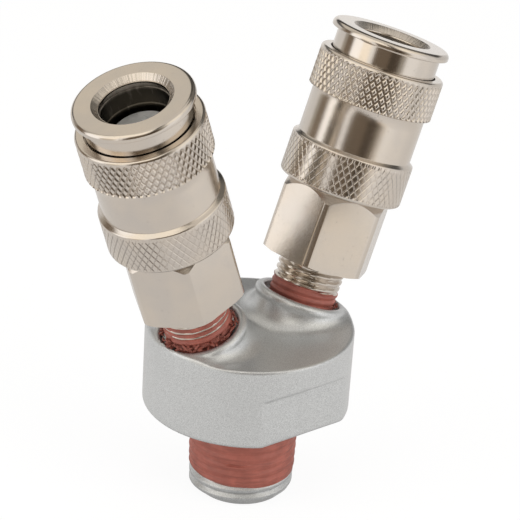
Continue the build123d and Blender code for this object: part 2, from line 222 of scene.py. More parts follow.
class Graph:
    """The node tree of a material or a world, with one method that adds any node."""

    def __init__(self, owner):
        self.owner = owner
        owner.use_nodes = True
        self.tree = owner.node_tree
        self.tree.nodes.clear()

    def node(self, kind, settings=None, inputs=None, out=0):
        """Adds a node; a listed or named input is a number, a colour or a Value that is linked."""
        made = self.tree.nodes.new(kind)
        for key, setting in (settings or {}).items():
            setattr(made, key, setting)
        pairs = inputs.items() if isinstance(inputs, dict) else enumerate(inputs or [])
        for key, entry in pairs:
            if isinstance(entry, Value):
                self.tree.links.new(entry.socket, made.inputs[key])
            else:
                made.inputs[key].default_value = entry
        return Value(self, made.outputs[out]) if made.outputs else None

    def place(self):
        """Points in metres in the object's own frame."""
        return self.node("ShaderNodeTexCoord", out="Object")

    def parts(self, vector):
        """The x, y and z of a vector."""
        first = self.node("ShaderNodeSeparateXYZ", None, [vector])
        return [Value(self, socket) for socket in first.socket.node.outputs]

    def noise(self, scale, detail=3.0, roughness=0.5, stretch=None):
        """Noise whose scale is in features per metre."""
        point = self.place()
        if stretch:
            point = self.node("ShaderNodeVectorMath", {"operation": "MULTIPLY"}, [point, stretch])
        inputs = {"Vector": point, "Scale": scale, "Detail": detail, "Roughness": roughness}
        return self.node("ShaderNodeTexNoise", None, inputs, out="Fac")

    def mix(self, factor, first, second):
        """A colour between two colours."""
        return self.node("ShaderNodeMix", {"data_type": "RGBA"}, {0: factor, 6: first, 7: second}, out=2)

    def bump(self, height, strength, distance):
        inputs = {"Height": height, "Strength": strength, "Distance": distance}
        return self.node("ShaderNodeBump", None, inputs, out="Normal")

    def surface(self, tint, metallic, rough, normal):
        """The finished material."""
        inputs = {"Base Color": tint, "Metallic": metallic, "Roughness": rough, "Normal": normal}
        return self.finish(self.node("ShaderNodeBsdfPrincipled", None, inputs))

    def finish(self, shader, output="ShaderNodeOutputMaterial"):
        """Links the last shader to the output, and gives the finished material or world."""
        self.node(output, None, {"Surface": shader})
        return self.owner


def material_graph(name):
    return Graph(bpy.data.materials.new(name))


def rgba(colour, factor=1.0):
    return tuple(channel * factor for channel in colour) + (1.0,)


GRAIN_DEPTH, STREAK_DEPTH, TOOL_MARK_DEPTH = 0.00002, 0.00003, 0.00014
PEEL_DEPTH, SMEAR_DEPTH = 0.00007, 0.00009


def nickel_looks(graph, colour, roughness):
    """Tint, roughness and bump height of satin nickel: fine grain, warm clouds and small pits."""
    clouds = graph.noise(160.0, 2.0)
    fine = graph.noise(7600.0, 3.0, 0.6)
    pits = graph.noise(1500.0, 2.0).ramp(0.68, 0.76)
    warm = (colour[0] * 1.03, colour[1] * 1.01, colour[2] * 0.98)
    tint = graph.mix(clouds.ramp(0.3, 0.7), rgba(colour, 0.96), rgba(warm))
    tint = graph.mix(pits * 0.30, tint, rgba(colour, 0.6))
    rough = roughness + (clouds - 0.5) * 0.05 + (fine - 0.5) * 0.14
    return tint, rough, fine * 0.6 - pits * 0.5


def nickel_plate(name, colour, roughness, grain):
    graph = material_graph(name)
    tint, rough, height = nickel_looks(graph, colour, roughness)
    normal = graph.bump(height, grain, GRAIN_DEPTH)
    return graph.surface(tint, 1.0, rough, normal)


def shaded_bore(name, unshaded, shaded):
    """A mouth's wall with painted shade: plain metal at its edge, darker further in."""
    sizes = bpy.context.scene.splitter_coupler
    graph = material_graph(name)
    _, _, station = graph.parts(graph.place())
    streaks = graph.noise(900.0, 3.0, 0.6, (1.0, 1.0, 0.3))
    # painted shade: the wall darkens with depth into the mouth
    depth = station + (streaks - 0.5) * 0.0009
    light_share = depth.ramp(sizes.bore_shade_full, sizes.bore_shade_fade) * 0.75
    tint = graph.mix(light_share, rgba(shaded), rgba(unshaded))
    tint = graph.mix(streaks.ramp(0.55, 0.75) * 0.12, tint, rgba(unshaded))
    rough = 0.32 + (streaks - 0.5) * 0.2
    normal = graph.bump(streaks, 0.4, STREAK_DEPTH)
    return graph.surface(tint, 1.0, rough, normal)


def knurled_plate(name, colour, roughness):
    """Nickel with a painted highlight along the crossed grooves of the rear knurl."""
    sizes = bpy.context.scene.splitter_coupler
    graph = material_graph(name)
    tint, rough, grain = nickel_looks(graph, colour, roughness)
    x, y, z = graph.parts(graph.place())
    around = y.angle_from(x) * (sizes.rear_teeth / (2 * math.pi))
    along = z / sizes.rear_lead
    to_groove = [((line + 0.5).fraction() - 0.5).size() for line in (around + along, around - along)]
    nearest = to_groove[0].smallest(to_groove[1])
    wear_and_glint = graph.noise(900.0, 2.0).ramp(0.25, 0.7) * 0.5 + 0.5
    low, high = sizes.rear_knurl_low, sizes.rear_knurl_high
    ends = z.ramp(low - 0.0003, low + 0.0006) * (1.0 - z.ramp(high - 0.0001, high))
    groove = (1.0 - nearest.ramp(0.0, sizes.groove_share)) * wear_and_glint * ends
    # painted highlight: the crossed grooves are lightened in uneven patches in place of their white glints
    tint = graph.mix(groove * 0.35, tint, rgba(colour, 1.3))
    normal = graph.bump(grain, 0.75, GRAIN_DEPTH)
    return graph.surface(tint, 1.0, rough, normal)


def cast_paint(name, colour, metallic, roughness):
    """Silver paint over a die casting: bright and dark flecks on a soft orange peel."""
    graph = material_graph(name)
    flecks = graph.noise(6200.0, 2.0, 0.7)
    glints = graph.noise(7400.0, 1.0).ramp(0.62, 0.74)
    peel = graph.noise(1300.0, 3.0, 0.55)
    clouds = graph.noise(120.0, 2.0)
    tint = graph.mix(flecks.ramp(0.30, 0.70), rgba(colour, 0.76), rgba(colour, 1.20))
    tint = graph.mix(glints * 0.45, tint, rgba(colour, 1.45))
    tint = graph.mix(clouds.ramp(0.35, 0.75) * 0.10, tint, rgba(colour, 0.78))
    rough = roughness + (flecks - 0.5) * 0.20
    normal = graph.bump(peel * 0.7 + flecks * 0.3, 0.16, PEEL_DEPTH)
    return graph.surface(tint, metallic, rough, normal)


def dried_sealant(name, colour):
    """Brick-red sealant: matte, cloudy, smeared along the thread, with small scuffs."""
    graph = material_graph(name)
    clouds = graph.noise(300.0, 4.0, 0.6)
    fine = graph.noise(2600.0, 3.0, 0.6)
    smears = graph.noise(520.0, 3.0, 0.6, (0.35, 0.35, 4.0))
    scuffs = graph.noise(700.0, 2.0, 0.5, (0.7, 0.7, 6.0)).ramp(0.62, 0.76)
    tint = graph.mix(clouds.ramp(0.3, 0.7), rgba(colour, 0.84), rgba(colour, 1.14))
    tint = graph.mix(smears.ramp(0.52, 0.30) * 0.45, tint, rgba(colour, 0.52))
    tint = graph.mix(scuffs * 0.30, tint, rgba((colour[0] * 1.5, colour[1] * 2.1, colour[2] * 2.2)))
    rough = 0.50 + (fine - 0.5) * 0.3
    normal = graph.bump(fine * 0.5 + clouds * 0.6 + smears * 0.9, 0.40, SMEAR_DEPTH)
    return graph.surface(tint, 0.0, rough, normal)


def soft_rubber(name, colour):
    graph = material_graph(name)
    fine = graph.noise(3000.0, 3.0)
    tint = graph.mix(fine.ramp(0.3, 0.7), rgba(colour, 0.8), rgba(colour, 1.4))
    rough = 0.55 + (fine - 0.5) * 0.2
    return graph.surface(tint, 0.0, rough, graph.bump(fine, 0.2, STREAK_DEPTH))


def tooled_plate(name, colour, roughness):
    """Nickel over a coarse turned face: fine streaks that run out from the axis."""
    graph = material_graph(name)
    flat = graph.node("ShaderNodeVectorMath", {"operation": "MULTIPLY"}, [graph.place(), (1.0, 1.0, 0.0)])
    ray = graph.node("ShaderNodeVectorMath", {"operation": "NORMALIZE"}, [flat])
    inputs = {"Vector": ray, "Scale": 24.0, "Detail": 3.0, "Roughness": 0.6}
    streaks = graph.node("ShaderNodeTexNoise", None, inputs, out="Fac")
    fine = graph.noise(4200.0, 2.0, 0.6)
    tint = graph.mix(streaks.ramp(0.35, 0.65), rgba(colour, 0.86), rgba(colour, 1.04))
    rough = roughness + (fine - 0.5) * 0.14
    normal = graph.bump(streaks + fine * 0.1, 0.9, TOOL_MARK_DEPTH)
    return graph.surface(tint, 1.0, rough, normal)


def turned_metal(name, colour, metallic, roughness):
    """Turned or drawn metal with fine streaks and a few scratches."""
    graph = material_graph(name)
    streaks = graph.noise(1400.0, 3.0, 0.6)
    patches = graph.noise(420.0, 2.0)
    scratches = graph.noise(2400.0, 2.0, 0.6, (1.0, 0.15, 0.6)).ramp(0.62, 0.72)
    tint = graph.mix(patches.ramp(0.35, 0.65), rgba(colour, 0.88), rgba(colour, 1.08))
    tint = graph.mix(scratches * 0.5, tint, rgba(colour, 0.55))
    rough = roughness + (streaks - 0.5) * 0.2
    normal = graph.bump(streaks - scratches * 0.6, 0.25, STREAK_DEPTH)
    return graph.surface(tint, metallic, rough, normal)


MATERIALS = {}


def finish_of(name):
    """The material of that name, made once."""
    if name in MATERIALS:
        return MATERIALS[name]
    colours = bpy.context.scene.splitter_colours
    nickel, paint, sealant = tuple(colours.nickel), tuple(colours.paint), tuple(colours.sealant)
    thread_paint = tuple(channel * 0.96 for channel in paint)
    # painted shade: the crumbs take a darker copy of the sealant colour for their self-shadowing
    crumb_shaded_tint = tuple(channel * 0.78 for channel in sealant)
    makers = {
        "nickel_satin": lambda: nickel_plate(name, nickel, 0.18, 0.75),
        "nickel_bright": lambda: nickel_plate(name, nickel, 0.13, 0.60),
        "nickel_knurled": lambda: knurled_plate(name, nickel, 0.17),
        "nickel_tooled": lambda: tooled_plate(name, nickel, 0.17),
        "bore_dark": lambda: shaded_bore(name, nickel, tuple(colours.bore)),
        "cast_paint": lambda: cast_paint(name, paint, 0.76, 0.36),
        "cast_thread": lambda: cast_paint(name, thread_paint, 0.75, 0.40),
        "sealant": lambda: dried_sealant(name, sealant),
        "crumbs": lambda: dried_sealant(name, crumb_shaded_tint),
        "rubber": lambda: soft_rubber(name, tuple(colours.rubber)),
        "valve_metal": lambda: turned_metal(name, tuple(colours.valve), 0.35, 0.42),
        "steel": lambda: turned_metal(name, tuple(colours.steel), 0.85, 0.30),
    }
    MATERIALS[name] = makers[name]()
    return MATERIALS[name]


def arc(centre_radius, centre_height, radius, start, end, count):
    """Section points on an arc; angles in degrees, 0 outwards and 90 forwards."""
    turns = np.radians(np.linspace(start, end, count))
    return [(centre_radius + radius * math.cos(t), centre_height + radius * math.sin(t)) for t in turns]


def turns_of(segments):
    """Angles of the columns of a ring."""
    return np.arange(segments) * 2 * math.pi / segments


def outlet_mount(side):
    """The record's mount at a coupler's mouth."""
    return next(mount for mount in frame["record"]["mounts"] if mount["name"] == f"{side}_outlet")


def coupler_matrix(side):
    """Places coupler stations in the frame, from the record's outlet mount."""
    mount = outlet_mount(side)
    along = Vector(mount["axis"]).normalized()
    across = Vector((-along.z, 0.0, along.x))
    third = along.cross(across)
    origin = Vector(mount["pos_m"]) - along * bpy.context.scene.splitter_coupler.mount_station
    turn = Matrix((across, third, along)).transposed().to_4x4()
    return Matrix.Translation(origin) @ turn


def add_object(name, points, faces, material, sharp=30.0):
    mesh = bpy.data.meshes.new(name)
    mesh.from_pydata(points.tolist(), [], faces)
    mesh.update()
    mesh.polygons.foreach_set("use_smooth", [True] * len(mesh.polygons))
    mesh.set_sharp_from_angle(angle=math.radians(sharp))
    made = bpy.data.objects.new(name, mesh)
    bpy.context.scene.collection.objects.link(made)
    mesh.materials.append(finish_of(material))
    return made


def ring(name, radii, heights, material, matrix=None, sharp=30.0, bands=()):
    """A closed ring of grid faces; radii and heights are rows of values round the axis.

    bands lists (first row, last row, material) for rows that have another finish.
    """
    rows, segments = radii.shape
    turns = turns_of(segments)
    points = np.stack([radii * np.cos(turns), radii * np.sin(turns), heights], axis=-1).reshape(-1, 3)
    row = np.arange(rows)[:, None]
    column = np.arange(segments)[None, :]
    next_row, next_column = (row + 1) % rows, (column + 1) % segments
    faces = np.stack(
        [
            row * segments + column,
            row * segments + next_column,
            next_row * segments + next_column,
            next_row * segments + column,
        ],
        axis=-1,
    ).reshape(-1, 4)
    made = add_object(name, points, faces.tolist(), material, sharp)
    for first, last, finish in bands:
        made.data.materials.append(finish_of(finish))
        place = len(made.data.materials) - 1
        for index in range(first * segments, last * segments):
            made.data.polygons[index].material_index = place
    if matrix is not None:
        made.matrix_world = matrix
    return made


def plain_rows(points, segments):
    """Rows of a plain turned surface."""
    return [(np.full(segments, radius), np.full(segments, height)) for radius, height in points]


def stacked(rows):
    """Radii and heights as two arrays, from rows that each hold one of both."""
    return np.array([row[0] for row in rows]), np.array([row[1] for row in rows])


def hex_radius(turns, half_flats, corner, turn):
    """Distance from the axis to a hexagon with turned corners."""
    local = (turns - turn + math.pi / 6) % (math.pi / 3) - math.pi / 6
    to_flat = math.pi / 6 - np.abs(local)
    return np.minimum(half_flats / np.cos(to_flat), corner)


def crest_radius(radius, heights, gauge):
    """Crest of a taper pipe thread, which widens by 1 in 16 on its diameter."""
    return radius + (heights - gauge) / 32


def thread_wave(heights, turns, pitch, sharpness=0.32):
    """0 in the root and 1 on the crest of a right-hand thread."""
    phase = (heights / pitch - turns / (2 * math.pi)) % 1.0
    rise = 1 - np.abs(phase * 2 - 1)
    return np.clip(rise / (1 - sharpness) - sharpness / 4, 0, 1)


def smooth(value):
    clipped = np.clip(value, 0, 1)
    return clipped * clipped * (3 - 2 * clipped)


def waves(turns, seed):
    """A repeatable uneven line round the axis, about -1 to 1."""
    orders, fading = 9, 0.9
    rng = np.random.default_rng(seed)
    total = np.zeros_like(turns)
    for order in range(1, orders + 1):
        total = total + rng.normal() * np.sin(order * turns + rng.uniform(0, 2 * math.pi)) / order**fading
    return total / np.abs(total).max()


def smooth_min(first, second, blend):
    """A union with a rounded valley."""
    mix = np.clip(0.5 + 0.5 * (second - first) / blend, 0, 1)
    return second * (1 - mix) + first * mix - blend * mix * (1 - mix)


def smooth_max(first, second, blend):
    return -smooth_min(-first, -second, blend)


def bar_distance(radial, along, radius, low, high, edge):
    """Signed distance to a round bar with rounded ends, in axis coordinates."""
    across = radial - radius + edge
    over = np.abs(along - (low + high) / 2) - (high - low) / 2 + edge
    outside = np.hypot(np.maximum(across, 0), np.maximum(over, 0))
    return outside + np.minimum(np.maximum(across, over), 0) - edge


def casting_distance(points):
    """Signed distance, in metres, to the casting above its inlet thread."""
    sizes = bpy.context.scene.splitter_casting
    threads = bpy.context.scene.splitter_threads
    drum_edge, boss_edge, mouth_edge = 0.0005, 0.0004, 0.00025
    rim_blend, wall_blend, flat_blend = 0.00016, 0.0006, 0.0005
    boss_foot, boss_short, bead_out = 0.026, 0.0012, 0.55
    counter_depth, hole_depth, hole_play = 0.0015, 0.0075, 0.0001
    passage_radius, passage_foot, bore_top = 0.0042, 0.021, 0.026
    radial = np.hypot(points[:, 0], points[:, 1])
    height = points[:, 2]
    slope = (sizes.top_radius - sizes.base_radius) / (sizes.drum_top - sizes.drum_base)
    wall = sizes.base_radius + slope * (height - sizes.drum_base)
    body = bar_distance(radial, height, wall, sizes.drum_base, sizes.drum_top, drum_edge)
    rims = []
    hollows = [np.maximum(radial - threads.inlet_bore, height - bore_top)]
    for side in SIDES:
        along = np.array(outlet_mount(side)["axis"])
        local = points - np.array([0, 0, sizes.crossing])
        station = local @ along
        off = np.linalg.norm(local - station[:, None] * along, axis=1)
        boss = bar_distance(
            off, station, sizes.boss_radius, boss_foot, sizes.boss_mouth - boss_short, boss_edge
        )
        body = smooth_min(body, boss, sizes.skirt_blend)
        middle = sizes.mouth_radius + sizes.rim_bead * bead_out
        rims.append(np.hypot(off - middle, station - (sizes.boss_mouth - sizes.rim_bead)) - sizes.rim_bead)
        for radius, foot in (
            (sizes.mouth_radius, sizes.boss_mouth - counter_depth),
            (threads.outlet_radius + hole_play, sizes.boss_mouth - hole_depth),
            (passage_radius, passage_foot),
        ):
            hollows.append(np.maximum(off - radius, foot - station))
    body = smooth_min(body, np.minimum.reduce(rims), rim_blend)
    body = smooth_max(body, radial - wall, wall_blend)
    body = np.maximum(body, sizes.drum_base - height)
    for sign in (-1, 1):
        over = sign * points[:, 1] - sizes.flat_distance
        under = sizes.flat_height + sizes.ledge_slope * np.maximum(over, 0) - height
        body = smooth_max(body, np.minimum(over, under), flat_blend)
    return smooth_max(body, -np.minimum.reduce(hollows), mouth_edge)


def surface_net(field, low, high, step):
    """Points and quads on the field's zero surface, from a regular grid."""
    counts = np.ceil((high - low) / step).astype(int) + 1
    axes = [low[k] + np.arange(counts[k]) * step for k in range(3)]
    grid = np.stack(np.meshgrid(*axes, indexing="ij"), axis=-1)
    values = field(grid.reshape(-1, 3)).reshape(counts)
    inside = values < 0
    cell = np.zeros(counts - 1, dtype=int)
    for dx, dy, dz in np.ndindex(2, 2, 2):
        cell += inside[dx:counts[0] - 1 + dx, dy:counts[1] - 1 + dy, dz:counts[2] - 1 + dz]
    mixed = (cell > 0) & (cell < 8)
    index = -np.ones(cell.shape, dtype=int)
    index[mixed] = np.arange(mixed.sum())
    points = low + (np.argwhere(mixed) + 0.5) * step
    passes, probe, longest, flattest, tiny = 12, step * 0.05, step * 0.5, 0.25, 1e-12
    for _ in range(passes):
        value = field(points)
        slope = np.stack([(field(points + np.eye(3)[k] * probe) - value) / probe for k in range(3)], axis=1)
        size = np.maximum((slope**2).sum(axis=1, keepdims=True), flattest)
        move = slope * (value[:, None] / size)
        length = np.linalg.norm(move, axis=1, keepdims=True)
        points = points - move * np.minimum(1, longest / np.maximum(length, tiny))
    quads = []
    for axis in range(3):
        start = inside.take(range(counts[axis] - 1), axis)
        end = inside.take(range(1, counts[axis]), axis)
        edges = np.argwhere(start != end)
        other = [k for k in range(3) if k != axis]
        edges = edges[np.all((edges[:, other] > 0) & (edges[:, other] < counts[other] - 1), axis=1)]
        corners = []
        for a, b in ((0, 0), (1, 0), (1, 1), (0, 1)):
            corner = edges.copy()
            corner[:, other[0]] -= a
            corner[:, other[1]] -= b
            corners.append(index[corner[:, 0], corner[:, 1], corner[:, 2]])
        quad = np.stack(corners, axis=1)
        outward = start[edges[:, 0], edges[:, 1], edges[:, 2]]
        flip = outward if axis != 1 else ~outward
        quad[flip] = quad[flip][:, ::-1]
        quads.append(quad)
    return points, np.concatenate(quads)


class SPLITTER_OT_casting(bpy.types.Operator):
    """Makes the drum with its bosses as one smooth casting"""

    bl_idname = "splitter.casting"
    bl_label = "Casting"

    def execute(self, context):
        sizes = context.scene.splitter_casting
        beside, below, highest = 0.002, 0.001, 0.0445
        reach = sizes.top_radius + beside
        low = np.array([-reach, -reach, sizes.drum_base - below])
        high = np.array([reach, reach, highest])
        points, quads = surface_net(casting_distance, low, high, sizes.net_step)
        body = add_object("casting", points, quads.tolist(), "cast_paint", sharp=55.0)
        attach(body, "root")
        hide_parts("manifold")
        return {"FINISHED"}


class SPLITTER_OT_inlet_thread(bpy.types.Operator):
    """Cuts the tapered inlet thread under the drum"""

    bl_idname = "splitter.inlet_thread"
    bl_label = "Inlet thread"

    def execute(self, context):
        sizes = context.scene.splitter_threads
        top = context.scene.splitter_casting.drum_base
        start, seen_end, hidden_start, end_slope = 0.0013, 0.0062, 0.0066, 1.1
        sunk, sunk_from, sunk_over = 0.0008, 0.0056, 0.0006
        turns = turns_of(320)
        stations = np.concatenate([np.linspace(start, seen_end, 44), np.linspace(hidden_start, top, 8)])
        heights = stations[:, None] + 0 * turns
        crest = crest_radius(sizes.inlet_radius, heights, sizes.inlet_gauge)
        wave = thread_wave(heights, turns, sizes.inlet_pitch)
        outer = np.minimum(crest - sizes.inlet_depth * (1 - wave), sizes.inlet_end + heights * end_slope)
        outer = outer - sunk * smooth((heights - sunk_from) / sunk_over)
        rim = [(sizes.inlet_bore, 0.0007), (sizes.inlet_bore + 0.0006, 0.00008)]
        rim += [(sizes.inlet_end - 0.0003, 0.0), (sizes.inlet_end, 0.00025)]
        rows = plain_rows(rim, len(turns)) + list(zip(outer, heights))
        rows += plain_rows([(sizes.inlet_bore, top)], len(turns))
        made = ring("inlet_thread", *stacked(rows), "cast_thread", sharp=40.0)
        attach(made, "root")
        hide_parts("manifold")
        return {"FINISHED"}


class SPLITTER_OT_inlet_sealant(bpy.types.Operator):
    """Wraps the inlet thread in dried sealant with a ragged lower edge"""

    bl_idname = "splitter.inlet_sealant"
    bl_label = "Inlet sealant"

    def execute(self, context):
        sizes = context.scene.splitter_threads
        top = context.scene.splitter_casting.drum_base
        lowest, ragged, lean, lean_towards = 0.0046, 0.00022, 0.00022, math.radians(150)
        slit_height, slit_thick, slit_wide, slit_depth = 0.0097, 0.00016, 0.24, 0.00060
        slit_turn = math.radians(223)
        valley, unevenness, lip_height, inside = 0.00026, 0.00004, 0.0005, 0.0006
        turns = turns_of(340)
        edge = lowest + ragged * waves(turns, 4) + lean * np.cos(turns - lean_towards)
        heights = edge + (top - edge) * np.linspace(0, 1, 84)[:, None]
        crest = crest_radius(sizes.inlet_radius, heights, sizes.inlet_gauge)
        wave = thread_wave(heights, turns, sizes.inlet_pitch, 0.2)
        outer = crest + sizes.sealant_cover - valley * (1 - wave) + unevenness * self.smears(turns, heights)
        across = np.exp(-(((heights - slit_height) / slit_thick) ** 2))
        around = np.exp(-(((turns - slit_turn) / slit_wide) ** 2))
        outer = outer - slit_depth * across * around
        root = crest - sizes.inlet_depth
        outer = root + (outer - root) * (0.55 + 0.45 * smooth((heights - edge) / lip_height))
        inner = sizes.inlet_radius - sizes.inlet_depth - inside
        rows = list(zip(outer, heights)) + plain_rows([(inner, top)], len(turns))
        rows.append((np.full(len(turns), inner), edge))
        made = ring("inlet_sealant_band", *stacked(rows), "sealant", sharp=50.0)
        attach(made, "root")
        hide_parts("inlet_sealant")
        return {"FINISHED"}

    def smears(self, turns, heights):
        """Uneven thickness of the sealant, about -1 to 1."""
        rng = np.random.default_rng(11)
        total = 0
        for order in range(1, 9):
            size, around, along = rng.normal(), rng.uniform(0, 6.28), rng.uniform(0, 6.28)
            rise = np.sin(heights * 900 * (1 + order % 3) + along)
            total = total + size * np.sin(order * turns + around) * rise / order
        return total


class SPLITTER_OT_bodies(bpy.types.Operator):
    """Turns each coupler's body: thread, hex, collar and tube"""

    bl_idname = "splitter.bodies"
    bl_label = "Coupler bodies"
    columns = 360

    def execute(self, context):
        sizes = context.scene.splitter_coupler
        threads = context.scene.splitter_threads
        for side in SIDES:
            turn = sizes.left_turn if side == "left" else sizes.right_turn
            rows = self.thread_rows(threads) + self.hex_rows(sizes, threads, turn) + self.tube_rows()
            made = ring(f"{side}_hex_body", *stacked(rows), "nickel_satin", coupler_matrix(side), 18.0)
            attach(made, "root")
            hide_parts(f"{side}_coupler_body")
        return {"FINISHED"}

    def thread_rows(self, threads):
        """The thread, which fades out before the hex."""
        start, end, fade_over = -0.0090, -0.0007, 0.0009
        turns = turns_of(self.columns)
        heights = np.linspace(start, end, 64)[:, None] + 0 * turns
        crest = crest_radius(threads.outlet_radius, heights, threads.outlet_gauge)
        wave = thread_wave(heights, turns, threads.outlet_pitch)
        fade = smooth((end - heights) / fade_over)
        return list(zip(crest - threads.outlet_depth * (1 - wave * fade), heights))

    def hex_rows(self, sizes, threads, turn):
        """The hex with a short rear chamfer and a long front one; gap keeps rows apart."""
        gap, rear, front, rear_slope = 0.00003, 0.00035, 0.0017, 0.5
        rear_start, front_end = sizes.corner_radius - 0.0007, 0.0099
        flats = hex_radius(turns_of(self.columns), sizes.across_flats / 2, sizes.corner_radius, turn)
        neck = threads.outlet_radius - threads.outlet_depth
        low = np.clip((flats - rear_start) * rear_slope, 0, rear)
        cone = (sizes.corner_radius - front_end) / front
        high = np.minimum(sizes.hex_length - gap, sizes.hex_length - (flats - front_end) / cone)
        pairs = [(neck, -gap), (neck + 0.0002, 0.0), (np.minimum(flats, rear_start) - 0.0002, 0.0)]
        pairs.append((np.minimum(flats, rear_start + low / rear_slope), low + 0.00004))
        pairs += [(flats, low + 2 * gap + (high - low - 0.0001) * share) for share in (0.02, 0.5, 0.98)]
        pairs.append((flats - gap, high))
        for share in (0.3, 0.7, 1.0):
            radius = flats - gap + (front_end - flats) * share
            pairs.append((radius, high + (sizes.hex_length - high) * share))
        return [tuple(np.broadcast_to(entry, self.columns) for entry in pair) for pair in pairs]

    def tube_rows(self):
        """The collar, the rear tube and the way inside."""
        collar, tube, socket, chamber, passage = 0.0107, 0.0096, 0.0082, 0.0073, 0.0040
        points = [(collar, 0.01505), (collar, 0.0179), (tube, 0.0179), (tube, 0.0276), (socket, 0.0276)]
        points += [(socket, 0.0195), (chamber, 0.0186), (chamber, 0.0083), (passage, 0.005)]
        points += [(passage, -0.0090)]
        return plain_rows(points, self.columns)


class SPLITTER_OT_noses(bpy.types.Operator):
    """Turns each nose tube with its flange and chamfered mouth"""

    bl_idname = "splitter.noses"
    bl_label = "Noses"

    def execute(self, context):
        sizes = context.scene.splitter_coupler
        section, chamfer, bore = self.section(sizes)
        rows = plain_rows(section, 192)
        bands = ((chamfer, chamfer + 1, "nickel_tooled"), (bore, len(section) - 1, "bore_dark"))
        for side in SIDES:
            matrix = coupler_matrix(side)
            made = ring(f"{side}_nose_tube", *stacked(rows), "nickel_bright", matrix, 32.0, bands)
            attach(made, "root")
            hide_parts(f"{side}_nose")
        return {"FINISHED"}

    def section(self, sizes):
        """The closed section, and the points where the mouth's chamfer and its wall with painted shade
        start.
        """
        under, top, edge, lip, fillet = 0.04566, 0.04713, 0.00095, 0.00018, 0.0003
        socket, spigot, waist, chamber, port = 0.0082, 0.0195, 0.00915, 0.0073, 0.0056
        outer, flange = sizes.nose_radius, sizes.flange_radius
        bore, narrow = sizes.bore_radius, sizes.tip_bore_radius
        section = [(socket, spigot), (socket, 0.0276), (waist, 0.0276), (waist, 0.033), (outer, 0.033)]
        section += [(outer, under - 0.0004)] + arc(outer + fillet, under - fillet, fillet, 180, 90, 5)
        section += [(flange - lip, under)] + arc(flange - lip, under + lip, lip, -90, 0, 5)
        section += [(flange, top - edge)] + arc(flange - edge, top - edge, edge, 8, 84, 11)
        section += [(flange - edge - 0.0002, top), (0.00800, top)]
        section += arc(0.00795, top - 0.00015, 0.00015, 90, 135, 3)
        chamfer = len(section) - 1
        section += [(bore + 0.00016, top - 0.00110)]
        section += arc(bore + 0.00012, top - 0.00125, 0.00012, 60, 180, 4)
        section += [(bore, top - 0.0016), (bore + 0.0002, top - 0.00175)]
        dark = len(section) - 1
        section += [(bore + 0.0002, top - 0.0024), (bore, top - 0.0025), (bore, 0.0412), (narrow, 0.0410)]
        section += [(narrow, 0.0339), (0.0079, 0.0339), (0.0079, 0.0321), (narrow, 0.0321), (narrow, 0.031)]
        section += [(port, 0.031), (port, 0.027), (chamber, 0.027), (chamber, spigot)]
        return section, chamfer, dark


def knurl_height(turns, heights, teeth, lead, flat):
    """Height of crossed grooves, 0 in a groove and 1 on a diamond's flat."""
    first = (teeth * turns / (2 * math.pi) + heights / lead) % 1.0
    second = (teeth * turns / (2 * math.pi) - heights / lead) % 1.0
    rise = np.minimum(1 - np.abs(first * 2 - 1), 1 - np.abs(second * 2 - 1))
    return np.clip(rise / flat, 0, 1)


KNURL_STEPS = 12


def knurled_rows(base, teeth, lead, depth, flat, low, high, foot, fade):
    """Rows of a knurled band whose grooves run through the mesh's corners.

    The grooves deepen over foot above low, and fade out over fade below high.
    """
    segments = teeth * KNURL_STEPS
    turns = turns_of(segments)
    step = lead / KNURL_STEPS
    rows = []
    for number in range(math.ceil(low / step), math.floor(high / step) + 1):
        height = number * step
        ends = float(smooth((height - low) / foot) * smooth((high - height) / fade))
        level = knurl_height(turns, height, teeth, lead, flat)
        rows.append((base(height) - depth * (1 - level) * ends, np.full(segments, height)))
    return rows


